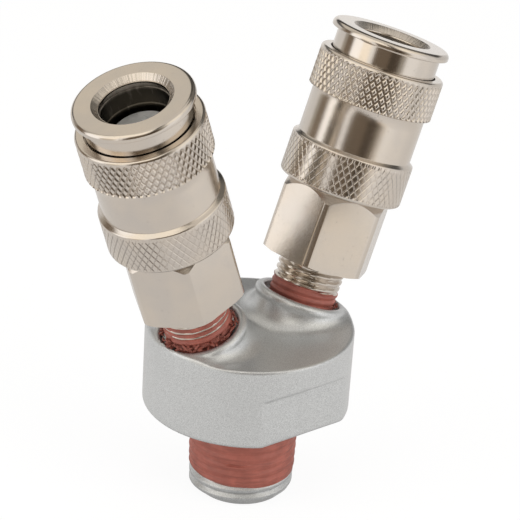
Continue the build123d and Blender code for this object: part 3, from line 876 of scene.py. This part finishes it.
class SPLITTER_OT_sleeves(bpy.types.Operator):
    """Cuts each sliding sleeve: a front part with its knurl and a rear band with a shallower one"""

    bl_idname = "splitter.sleeves"
    bl_label = "Sleeves"
    bore = 0.01075

    def execute(self, context):
        sizes = context.scene.splitter_coupler
        front = self.front_rows(sizes)
        rear, knurled = self.rear_rows(sizes)
        for side in SIDES:
            matrix = coupler_matrix(side)
            for name, rows, bands in (
                ("knurled_sleeve", front, ()),
                ("rear_band", rear, ((*knurled, "nickel_knurled"),)),
            ):
                made = ring(f"{side}_{name}", *stacked(rows), "nickel_satin", matrix, 34.0, bands)
                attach(made, f"{side}_sleeve")
                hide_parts(f"{side}_sleeve")
        return {"FINISHED"}

    def front_rows(self, sizes):
        """The waist, the front band and the inside, from the rear band's shoulder forwards."""
        segments = sizes.front_teeth * KNURL_STEPS
        low, front, shoulder, flat = 0.0334, 0.0416, 0.0240, 0.55
        waist, crest, land = sizes.waist_radius, sizes.front_radius, sizes.nose_radius + 0.00005
        recess, rib, rib_rear, rib_front = 0.01163, 0.0092, 0.0276, 0.0288
        outside = [(self.bore, shoulder), (waist, shoulder), (waist, 0.0262), (waist, 0.0286)]
        outside += [(waist, 0.031), (waist, low - 0.0002), (waist + 0.0001, low - 0.00003)]
        outside += [(crest - 0.0004, low), (crest - 0.0001, low + 0.00012)]
        knurl = knurled_rows(
            lambda height: crest, sizes.front_teeth, sizes.front_lead, sizes.front_depth, flat,
            low=low + 0.0002, high=front - 0.00058, foot=0.00025, fade=0.0006,
        )
        inside = arc(crest - 0.0006, front - 0.00055, 0.00055, 10, 90, 8)
        inside += [(land + 0.00025, front), (land + 0.0002, front - 0.0012), (land, front - 0.00125)]
        inside += [(land, 0.0402), (recess, 0.0402), (recess, 0.0375), (land, 0.0331), (land, rib_front)]
        inside += [(rib, rib_front), (rib, rib_rear), (self.bore, rib_rear)]
        return plain_rows(outside, segments) + knurl + plain_rows(inside, segments)

    def rear_rows(self, sizes):
        """The rear band, and the first and last row of its knurled finish."""
        segments = sizes.rear_teeth * KNURL_STEPS
        rear, top, edge, shoulder = 0.0153, 0.0238, 0.0007, 0.00045
        waist, crest = sizes.waist_radius, sizes.rear_radius

        def rounded(height):
            under = max(rear + edge - height, 0.0)
            return crest - edge + math.sqrt(edge * edge - under * under)

        back = [(self.bore, rear), (self.bore + 0.00005, rear)]
        start = back + arc(crest - edge, rear + edge, edge, -90, -50, 4)
        knurl = knurled_rows(
            rounded, sizes.rear_teeth, sizes.rear_lead, sizes.rear_depth, 2 * sizes.groove_share,
            low=sizes.rear_knurl_low, high=sizes.rear_knurl_high, foot=0.0007, fade=0.00015,
        )
        finish = arc(crest - shoulder, top - 0.0004, shoulder, 10, 62, 5)
        finish += [(waist + 0.00012, top + 0.00035), (waist - 0.00003, top + 0.0005)]
        finish += [(self.bore, top + 0.0005)]
        rows = plain_rows(start, segments) + knurl + plain_rows(finish, segments)
        return rows, (len(back), len(start) + len(knurl))


class SPLITTER_OT_thread_sealant(bpy.types.Operator):
    """Smears sealant on the part of each coupler's thread that stands out of its boss"""

    bl_idname = "splitter.thread_sealant"
    bl_label = "Thread sealant"

    def execute(self, context):
        threads = context.scene.splitter_threads
        plans = {
            "left": dict(low=-0.0096, high=-0.0032, lean=0.0001, at=90, bare=0.00026, dip=0.00040, seed=21),
            "right": dict(low=-0.0090, high=-0.0048, lean=0.0003, at=330, bare=0.0, dip=0.00022, seed=22),
        }
        ragged, lip_height, inside = 0.00022, 0.0004, 0.0004
        bare_high, bare_low, bare_blend, bare_crest, crest_blend = -0.0031, -0.0062, 0.0003, 0.84, 0.10
        turns = turns_of(260)
        for side, plan in plans.items():
            lean = plan["lean"] * np.cos(turns - math.radians(plan["at"]))
            top = plan["high"] + lean + ragged * waves(turns, plan["seed"])
            heights = plan["low"] + (top - plan["low"]) * np.linspace(0, 1, 52)[:, None]
            crest = crest_radius(threads.outlet_radius, heights, threads.outlet_gauge)
            wave = thread_wave(heights, turns, threads.outlet_pitch, 0.2)
            outer = crest + threads.sealant_cover - plan["dip"] * (1 - wave)
            wear_and_glint = smooth((bare_high - heights) / bare_blend) * smooth((heights - bare_low) / bare_blend)
            outer = outer - plan["bare"] * wear_and_glint * smooth((wave - bare_crest) / crest_blend)
            root = crest - threads.outlet_depth
            outer = root + (outer - root) * (0.35 + 0.65 * smooth((top - heights) / lip_height))
            inner = np.full(len(turns), threads.outlet_radius - threads.outlet_depth - inside)
            rows = list(zip(outer, heights)) + [(inner, top), (inner, np.full(len(turns), plan["low"]))]
            made = ring(f"{side}_sealant_band", *stacked(rows), "sealant", coupler_matrix(side), 50.0)
            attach(made, "root")
            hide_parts(f"{side}_thread_sealant")
        return {"FINISHED"}


def unit_ball():
    """Points and faces of a ball."""
    ball = bmesh.new()
    bmesh.ops.create_icosphere(ball, subdivisions=2, radius=1.0)
    points = np.array([list(corner.co) for corner in ball.verts])
    faces = np.array([[corner.index for corner in face.verts] for face in ball.faces])
    ball.free()
    return points, faces


class SPLITTER_OT_crumbs(bpy.types.Operator):
    """Leaves crumbs of squeezed-out sealant at the boss mouths"""

    bl_idname = "splitter.crumbs"
    bl_label = "Sealant crumbs"

    def execute(self, context):
        rng = np.random.default_rng(5)
        ball, ball_faces = unit_ball()
        plans = {
            "left": dict(count=84, start=-50, end=165, station=-0.0080, rise=0.0012, size=0.00055),
            "right": dict(count=26, start=85, end=160, station=-0.0074, rise=0.0004, size=0.00026),
        }
        for side, plan in plans.items():
            points, faces = [], []
            for number in range(plan["count"]):
                points.append(self.crumb(rng, ball, plan))
                faces.append(ball_faces + number * len(ball))
            faces = np.concatenate(faces).tolist()
            made = add_object(f"{side}_crumbs", np.concatenate(points), faces, "crumbs", sharp=60.0)
            made.matrix_world = coupler_matrix(side)
            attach(made, "root")
            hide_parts(f"{side}_thread_sealant")
        return {"FINISHED"}

    def crumb(self, rng, ball, plan):
        """One lumpy crumb on the ring between the thread and the boss's rim."""
        mouth, rise_in, scatter = 0.0073, 0.0004, 0.00025
        turn = math.radians(rng.uniform(plan["start"], plan["end"]))
        lift = rng.uniform(0, 1) ** 1.6
        radius = mouth - rise_in * lift + rng.uniform(-scatter, scatter)
        station = plan["station"] + plan["rise"] * (lift - 0.35)
        centre = (radius * math.cos(turn), radius * math.sin(turn), station)
        size = plan["size"] * rng.uniform(0.55, 1.0)
        stretch = size * np.array([rng.uniform(1.0, 2.0), rng.uniform(0.4, 0.65), rng.uniform(0.3, 0.55)])
        spin = np.array(Quaternion(rng.normal(size=4)).normalized().to_matrix())
        lumps = 1 + 0.22 * np.sin(ball @ rng.normal(size=3) * 3.5 + rng.uniform(0, 6))
        lumps = lumps + 0.12 * np.sin(ball @ rng.normal(size=3) * 8)
        return (ball * lumps[:, None] * stretch) @ spin.T + centre


class SPLITTER_OT_inner_parts(bpy.types.Operator):
    """Gives the valves, seals, springs, washers and balls their finishes"""

    bl_idname = "splitter.inner_parts"
    bl_label = "Inner parts"

    def execute(self, context):
        finishes = {"valve": "valve_metal", "valve_seal": "rubber", "plug_seal": "rubber"}
        steel = ["valve_spring", "sleeve_spring", "spring_washer"]
        steel += [f"ball_{number}" for number in range(1, 5)]
        finishes.update({piece: "steel" for piece in steel})
        for side in SIDES:
            for piece, finish in finishes.items():
                node = frame["nodes"][f"{side}_{piece}"]
                for place in node.material_slots:
                    place.material = finish_of(finish)
        return {"FINISHED"}


def looking_from(azimuth, elevation):
    """Unit vector from the object towards a point of the studio; angles in degrees."""
    a, e = math.radians(azimuth), math.radians(elevation)
    return Vector((math.sin(a) * math.cos(e), -math.cos(a) * math.cos(e), math.sin(e)))


def panel(name, azimuth, elevation, distance, width, height, glow, target):
    """A soft lamp that lights diffuse surfaces; the tent takes its place in reflections."""
    data = bpy.data.lights.new(name, "AREA")
    data.shape = "RECTANGLE"
    data.size, data.size_y = width, height
    data.energy = glow * math.pi * width * height
    lamp = bpy.data.objects.new(name, data)
    bpy.context.scene.collection.objects.link(lamp)
    back = looking_from(azimuth, elevation)
    lamp.location = target + back * distance
    lamp.rotation_mode = "QUATERNION"
    lamp.rotation_quaternion = back.to_track_quat("Z", "Y")
    lamp.visible_glossy = False


NEUTRAL, WARM, BROWN = (1.0, 0.985, 0.97), (1.0, 0.92, 0.80), (1.0, 0.78, 0.58)
# each card: first and last azimuth in degrees, glow at each pair of TENT_HEIGHTS, tint of the lower three
TENT_CARDS = (
    (162, 200, (0.82, 0.82, 0.14, 0.78), NEUTRAL),  # back
    (202, 210, (0.45, 0.45, 0.40, 0.75), WARM),  # back left grey
    (213, 229, (0.25, 0.25, 0.20, 0.60), BROWN),  # left dark
    (235, 257, (1.45, 1.45, 1.45, 1.30), NEUTRAL),  # left bright
    (260, 280, (0.75, 0.75, 1.40, 1.30), WARM),  # left tan
    (283, 290, (1.10, 1.10, 1.10, 1.25), NEUTRAL),  # left edge
    (296, 314, (0.18, 0.18, 0.18, 1.30), BROWN),  # camera left
    (322, 327, (0.18, 0.18, 0.18, 1.10), BROWN),  # camera brown
    (331, 339, (0.10, 0.08, 0.10, 0.10), BROWN),  # camera dark
    (344, 349, (0.60, 0.10, 0.13, 0.40), BROWN),  # front brown
    (355, 359, (1.05, 0.40, 0.44, 1.05), WARM),  # front grey
    (367, 393, (1.08, 1.08, 1.08, 1.20), NEUTRAL),  # front bright
    (402, 418, (0.90, 0.90, 0.88, 1.00), NEUTRAL),  # right
    (426, 432, (0.72, 0.72, 0.70, 0.80), NEUTRAL),  # right grey
    (438, 472, (0.72, 0.72, 0.10, 0.20), NEUTRAL),  # right back
    (482, 512, (0.92, 0.92, 0.04, 0.10), NEUTRAL),  # back right
)
TENT_HEIGHTS = ((0.001, 0.022), (0.034, 0.118), (0.134, 0.20), (0.23, 0.60))
HIGH_TINT = (1.0, 0.945, 0.85)
TENT_RADIUS, SENSOR_WIDTH = 0.28, 36.0
# each lamp: name, azimuth and elevation in degrees, distance, width, height, glow
LAMPS = (
    ("lamp_left", -100, 14, 0.7, 0.7, 0.6, 2.1),
    ("lamp_front", 18, 14, 0.7, 0.6, 0.6, 2.6),
    ("lamp_top", -20, 80, 0.8, 0.6, 0.6, 0.4),
)


def tent(radius):
    """A ring of cards round the object, seen only in reflections."""
    points, glows = [], []
    for start, end, levels, tint in TENT_CARDS:
        for azimuth in (start, end):
            out = looking_from(azimuth, 0) * radius
            for heights, level, hue in zip(TENT_HEIGHTS, levels, (tint, tint, tint, HIGH_TINT)):
                points += [(out.x, out.y, height) for height in heights]
                glows += [rgba(hue, level)] * len(heights)
    columns = 2 * len(TENT_CARDS)
    rows = 2 * len(TENT_HEIGHTS)
    faces = []
    for column in range(columns):
        after = (column + 1) % columns
        for row in range(rows - 1):
            here, there = column * rows + row, after * rows + row
            faces.append((here, there, there + 1, here + 1))
    mesh = bpy.data.meshes.new("tent")
    mesh.from_pydata(points, [], faces)
    glow = mesh.attributes.new("glow", "FLOAT_COLOR", "POINT")
    glow.data.foreach_set("color", np.array(glows).ravel())
    made = bpy.data.objects.new("tent", mesh)
    bpy.context.scene.collection.objects.link(made)
    graph = material_graph("tent")
    colour = graph.node("ShaderNodeAttribute", {"attribute_name": "glow"}, out="Color")
    mesh.materials.append(graph.finish(graph.node("ShaderNodeEmission", None, {"Color": colour})))
    made.visible_camera = made.visible_diffuse = made.visible_shadow = False


class SPLITTER_OT_stage(bpy.types.Operator):
    """Sets the floor, lamps, cards and camera"""

    bl_idname = "splitter.stage"
    bl_label = "Stage"

    def execute(self, context):
        scene = context.scene
        settings = scene.splitter_stage
        target = Vector((0.0, 0.0, settings.aim_height))
        self.floor(scene)
        self.world(scene)
        for lamp in LAMPS:
            panel(*lamp, target)
        tent(TENT_RADIUS)
        self.camera(scene, settings, target)
        return {"FINISHED"}

    def floor(self, scene):
        """A pale floor that casts back the object's shadow, and a grey card to its reflections that holds a
        painted shadow round the object's foot.
        """
        reach = 3.0
        corners = [(-reach, -reach, 0), (reach, -reach, 0), (reach, reach, 0), (-reach, reach, 0)]
        mesh = bpy.data.meshes.new("floor")
        mesh.from_pydata(corners, [], [(0, 1, 2, 3)])
        floor = bpy.data.objects.new("floor", mesh)
        scene.collection.objects.link(floor)
        graph = material_graph("floor")
        camera_ray = graph.node("ShaderNodeLightPath", out="Is Camera Ray")
        base = graph.node("ShaderNodeBsdfDiffuse", None, {"Color": rgba(scene.splitter_colours.floor)})
        glow = graph.node("ShaderNodeEmission", None, {"Color": (1, 1, 1, 1), "Strength": 1.07})
        seen = graph.node("ShaderNodeMixShader", None, [camera_ray * 0.84, base, glow])
        glossy_ray = graph.node("ShaderNodeLightPath", out="Is Glossy Ray")
        x, y, _ = graph.parts(graph.place())
        away = (x * x + y * y) ** 0.5
        near_camera = (x * 0.34 - y * 0.94).ramp(0.07, 0.18)
        # painted shadow: in reflections the floor darkens near the object's axis
        level = (0.55 + 0.45 * away.ramp(0.012, 0.05)) * (0.79 + 0.13 * near_camera)
        card = graph.node("ShaderNodeEmission", None, {"Color": (1.0, 0.98, 0.96, 1), "Strength": level})
        mixed = graph.node("ShaderNodeMixShader", None, [glossy_ray, seen, card])
        mesh.materials.append(graph.finish(mixed))

    def world(self, scene):
        """A dim room for the lighting, a brighter roof for reflections and white for the camera."""
        scene.world = bpy.data.worlds.new("studio")
        graph = Graph(scene.world)
        camera_ray = graph.node("ShaderNodeLightPath", out="Is Camera Ray")
        glossy_ray = graph.node("ShaderNodeLightPath", out="Is Glossy Ray")
        room = graph.node("ShaderNodeBackground", None, {"Color": (0.52, 0.515, 0.505, 1)})
        roof = graph.node("ShaderNodeBackground", None, {"Color": (0.80, 0.76, 0.70, 1)})
        white = graph.node("ShaderNodeBackground", None, {"Color": (1, 1, 1, 1)})
        lit = graph.node("ShaderNodeMixShader", None, [glossy_ray, room, roof])
        seen = graph.node("ShaderNodeMixShader", None, [camera_ray, lit, white])
        graph.finish(seen, "ShaderNodeOutputWorld")

    def camera(self, scene, settings, target):
        """Places the camera round the target, rolled and shifted as in the photo."""
        back = looking_from(math.degrees(settings.azimuth), math.degrees(settings.elevation))
        level = (-back).cross(Vector((0, 0, 1))).normalized()
        upright = level.cross(-back).normalized()
        roll = settings.roll
        right = level * math.cos(roll) + upright * math.sin(roll)
        up = upright * math.cos(roll) - level * math.sin(roll)
        place = target + back * settings.distance
        aim = target + right * settings.aim_right + up * settings.aim_up
        out = (place - aim).normalized()
        across = (right - out * right.dot(out)).normalized()
        over = out.cross(across)
        data = bpy.data.cameras.new("camera")
        data.sensor_width = SENSOR_WIDTH
        data.lens = settings.lens
        data.clip_start, data.clip_end = 0.01, 20.0
        camera = bpy.data.objects.new("camera", data)
        scene.collection.objects.link(camera)
        camera.matrix_world = Matrix.Translation(place) @ Matrix((across, over, out)).transposed().to_4x4()
        scene.camera = camera
        scene.view_settings.view_transform = "Standard"


class SPLITTER_PT_panel(bpy.types.Panel):
    """Lists the steps in the sidebar"""

    bl_label = "Coupling splitter"
    bl_space_type = "VIEW_3D"
    bl_region_type = "UI"
    bl_category = "Splitter"

    def draw(self, context):
        for step in STEPS:
            self.layout.operator(step.bl_idname)


GROUPS = {
    "splitter_casting": CastingSizes,
    "splitter_threads": ThreadSizes,
    "splitter_coupler": CouplerSizes,
    "splitter_colours": FinishColours,
    "splitter_stage": StageSettings,
}
STEPS = (
    SPLITTER_OT_casting,
    SPLITTER_OT_inlet_thread,
    SPLITTER_OT_inlet_sealant,
    SPLITTER_OT_bodies,
    SPLITTER_OT_noses,
    SPLITTER_OT_sleeves,
    SPLITTER_OT_thread_sealant,
    SPLITTER_OT_crumbs,
    SPLITTER_OT_inner_parts,
    SPLITTER_OT_stage,
)


def register():
    for group in GROUPS.values():
        bpy.utils.register_class(group)
    for name, group in GROUPS.items():
        setattr(bpy.types.Scene, name, PointerProperty(type=group))
    for step in STEPS:
        bpy.utils.register_class(step)
    bpy.utils.register_class(SPLITTER_PT_panel)


def unregister():
    bpy.utils.unregister_class(SPLITTER_PT_panel)
    for step in reversed(STEPS):
        bpy.utils.unregister_class(step)
    for name in GROUPS:
        delattr(bpy.types.Scene, name)
    for group in GROUPS.values():
        bpy.utils.unregister_class(group)


def main():
    register()
    for step in STEPS:
        group, name = step.bl_idname.split(".")
        getattr(getattr(bpy.ops, group), name)()


if __name__ == "__main__":
    main()
